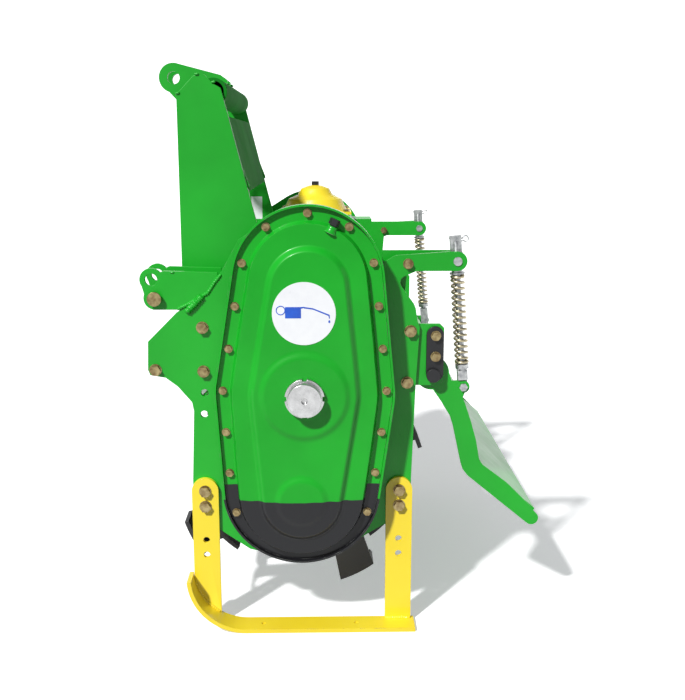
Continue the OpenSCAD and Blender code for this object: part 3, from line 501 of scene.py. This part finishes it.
def pressed_cover():
    """The cover as pressed sheet: steep tray wall, soft ramp to the ridge, a round swage at the middle
    shaft and round the rotor's axis.
    """
    outline = case_wrap(0.0, LOW_Z, 0.0)
    tray = case_wrap(24.0, 8.0, 24.0)
    ridge = case_wrap(62.0, 0.0, 68.0, 9.0)
    rim = low("case_gasket").y - 3 * MM
    tray_up, ridge_up, swage_up = 15.0, 10.0, 3.9
    rings = 120
    which = (outline[:, :2] @ ACROSS + outline[:, 2:]).argmax(axis=0)
    rays = [(outline[i, :2], outline[i, 2], ACROSS[:, k]) for k, i in enumerate(which)]
    edge = []
    for (c0, r0, d0), (c1, r1, d1) in zip(rays, rays[1:] + rays[:1]):
        steps = max(1, int(np.linalg.norm(c1 + r1 * d1 - c0 - r0 * d0) / 4.0))
        for s in range(steps):
            t = s / steps
            edge.append((c0 + (c1 - c0) * t, r0 + (r1 - r0) * t, d0 + (d1 - d0) * t))
    work = bmesh.new()
    grid = []
    shaft = np.array([mid_shaft.x - axis.x, mid_shaft.z - axis.z]) / MM
    for ring in range(rings + 1):
        share = (1 - ring / rings) ** 0.85 if ring < rings else 0.0
        flat = np.array([c + d * r * share for c, r, d in edge])
        h = tray_up * smooth((inward(tray, flat) + 0.5) / 5.5)
        h += ridge_up * smooth((inward(ridge, flat) + 6.0) / 13.0)
        h += swage_up * smooth((84.0 - np.linalg.norm(flat - shaft, axis=1)) / 13.0)
        h += swage_up * smooth((51.0 - np.linalg.norm(flat, axis=1)) / 14.0)
        grid.append([work.verts.new((axis.x + x * MM, rim - up * MM, axis.z + z * MM))
                     for (x, z), up in zip(flat, h)])
    grid.insert(0, [work.verts.new(v.co + Vector((0, 2.9 * MM, 0))) for v in grid[0]])
    count = len(edge)
    for near, far in zip(grid, grid[1:]):
        for k in range(count):
            n = (k + 1) % count
            work.faces.new((near[k], near[n], far[n], far[k]))
    bmesh.ops.remove_doubles(work, verts=work.verts, dist=0.02 * MM)
    bmesh.ops.recalc_face_normals(work, faces=work.faces)
    mesh = bpy.data.meshes.new("pressed_cover")
    work.to_mesh(mesh)
    work.free()
    piece = add_piece("case_cover_pressed", mesh, case_green, "frame", 50)
    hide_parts("case_cover")
    filler_neck()


def filler_neck():
    """The short neck that the filler plug screws into."""
    middle = (low("filler_plug") + high("filler_plug")) / 2
    out = Vector((middle.x - top_shaft.x, 0, middle.z - top_shaft.z)).normalized()
    steps = [(-16.0, 13.0), (-13.0, 10.4), (-7.0, 9.2), (-4.0, 9.0), (-3.4, 8.2)]      # place, radius
    points = [middle + out * place * MM for place, radius in steps]
    mesh = sweep("filler_neck", points, lambda i: steps[i][1] * MM, 32)
    add_piece("filler_neck", mesh, case_green, "frame", 60)


# ---- Label --------------------------------------------------------------------------------------------
def flat_shape(name, outline, y, thick, material):
    """A thin plate on the frame with this outline of (x, z) points, its outer face at y."""
    work = bmesh.new()
    front = [work.verts.new((x, y, z)) for x, z in outline]
    back = [work.verts.new((x, y + thick, z)) for x, z in outline]
    work.faces.new(front)
    work.faces.new(back[::-1])
    for k in range(len(outline)):
        n = (k + 1) % len(outline)
        work.faces.new((front[n], front[k], back[k], back[n]))
    bmesh.ops.recalc_face_normals(work, faces=work.faces)
    mesh = bpy.data.meshes.new(name)
    work.to_mesh(mesh)
    work.free()
    add_piece(name, mesh, material, "frame")


def label_symbol():
    """A plain blue oil can, with no words."""
    lowest, highest = low("label_disc"), high("label_disc")
    thick = 0.25 * MM
    x, z, y = (lowest.x + highest.x) / 2, (lowest.z + highest.z) / 2, lowest.y - thick

    def shape(name, points):
        flat_shape(name, [(x + u * MM, z + v * MM) for u, v in points], y, thick, label_blue)

    shape("label_can", [(-33, -8), (-5, -8), (-5, 9), (0, 10.4), (-1, 12.4), (-6, 12), (-33, 12)])
    shape("label_spout", [(-1, 12.4), (0, 9.6), (16, 7.4), (43, -3.8), (44, -8.5), (45.6, -8.5),
                          (45.0, -1.8), (16, 9.8)])
    round_drop = [2 * math.pi * k / 16 for k in range(16)]
    shape("label_drop", [(44.6 + 1.9 * math.sin(a) * (1.0 if math.cos(a) < 0 else 0.8),
                          -14.0 + 2.6 * math.cos(a)) for a in round_drop])
    ring_r = 7.6
    ring = [Vector((x + (-40.8 + ring_r * math.cos(a)) * MM, y + 0.35 * MM,
                    z + (6.0 + ring_r * math.sin(a)) * MM))
            for a in (2 * math.pi * k / 40 for k in range(41))]
    add_piece("label_ring", sweep("label_ring", ring, 0.85 * MM, 8), label_blue, "frame", 60)


def data_plate():
    """A blank plate inside the far leg of the mast."""
    corners = [at(x, 265.6, z) for x, z in ((-132, 462), (-106, 462), (-106, 516), (-132, 516))]
    flat_shape("data_plate", [(c.x, c.z) for c in corners], corners[0].y, 0.4 * MM, label_white)


# ---- Camera, light and floor -----------------------------------------------------------------------------
def camera_and_light():
    """The camera on the gear case's side, one soft sun from the front left, and a dim sky."""
    height, down, turn = 0.908, 11.9, -1.18                 # metres, degrees, degrees
    data = bpy.data.cameras.new("camera")
    data.lens = 50.0
    data.sensor_width = 36.0
    camera = bpy.data.objects.new("camera", data)
    place = at(40.0, -2125.0, 0)
    camera.location = (place.x, place.y, height)
    camera.rotation_euler = Euler((math.radians(90 - down), 0, math.radians(turn)))
    bpy.context.scene.collection.objects.link(camera)
    bpy.context.scene.camera = camera
    world = bpy.data.worlds.new("studio")
    world.use_nodes = True
    sky = world.node_tree.nodes["Background"]
    sky.inputs["Color"].default_value = (0.95, 0.98, 1.0, 1.0)
    sky.inputs["Strength"].default_value = 0.24
    bpy.context.scene.world = world
    sun = bpy.data.lights.new("key", "SUN")
    sun.energy = 4.3
    sun.angle = math.radians(3.5)
    key = bpy.data.objects.new("key", sun)
    key.rotation_euler = Vector((0.70, 1.0, -1.12)).to_track_quat("-Z", "Y").to_euler()
    bpy.context.scene.collection.objects.link(key)
    bpy.context.scene.view_settings.view_transform = "Standard"


def floor():
    """A pale floor that curves up all round into a wall. It glows faintly, and lights nothing else."""
    profile = [(0.0, 0.0), (2.0, 0.0), (7.0, 0.0), (7.6, 0.06), (8.2, 0.28), (8.7, 0.7), (9.0, 1.3),
               (9.1, 2.2), (9.1, 4.6)]                      # radius and height
    turns = 96
    verts = [(r * math.cos(a), r * math.sin(a), z) for r, z in profile
             for a in (2 * math.pi * k / turns for k in range(turns))]
    faces = []
    for ring in range(len(profile) - 1):
        for k in range(turns):
            n = (k + 1) % turns
            inner, outer = ring * turns, (ring + 1) * turns
            faces.append((inner + k, inner + n, outer + n, outer + k))
    mesh = bpy.data.meshes.new("floor")
    mesh.from_pydata(verts, [], faces)
    for polygon in mesh.polygons:
        polygon.use_smooth = True
    ground = bpy.data.objects.new("floor", mesh)
    bpy.context.scene.collection.objects.link(ground)
    pale = plain("floor_pale", (0.92, 0.92, 0.92), (0.90, 0.90, 0.90), 0.9, 3.0)
    shader_of(pale).inputs["Emission Color"].default_value = (0.97, 0.98, 1.0, 1.0)
    shader_of(pale).inputs["Emission Strength"].default_value = 0.4
    mesh.materials.append(pale)
    ground.visible_diffuse = False


camera_and_light()
floor()
finish_nodes()
pressed_cover()
for side in ("near", "far"):
    coil_spring(side)
    hairpin(side)
welds()
label_symbol()
data_plate()
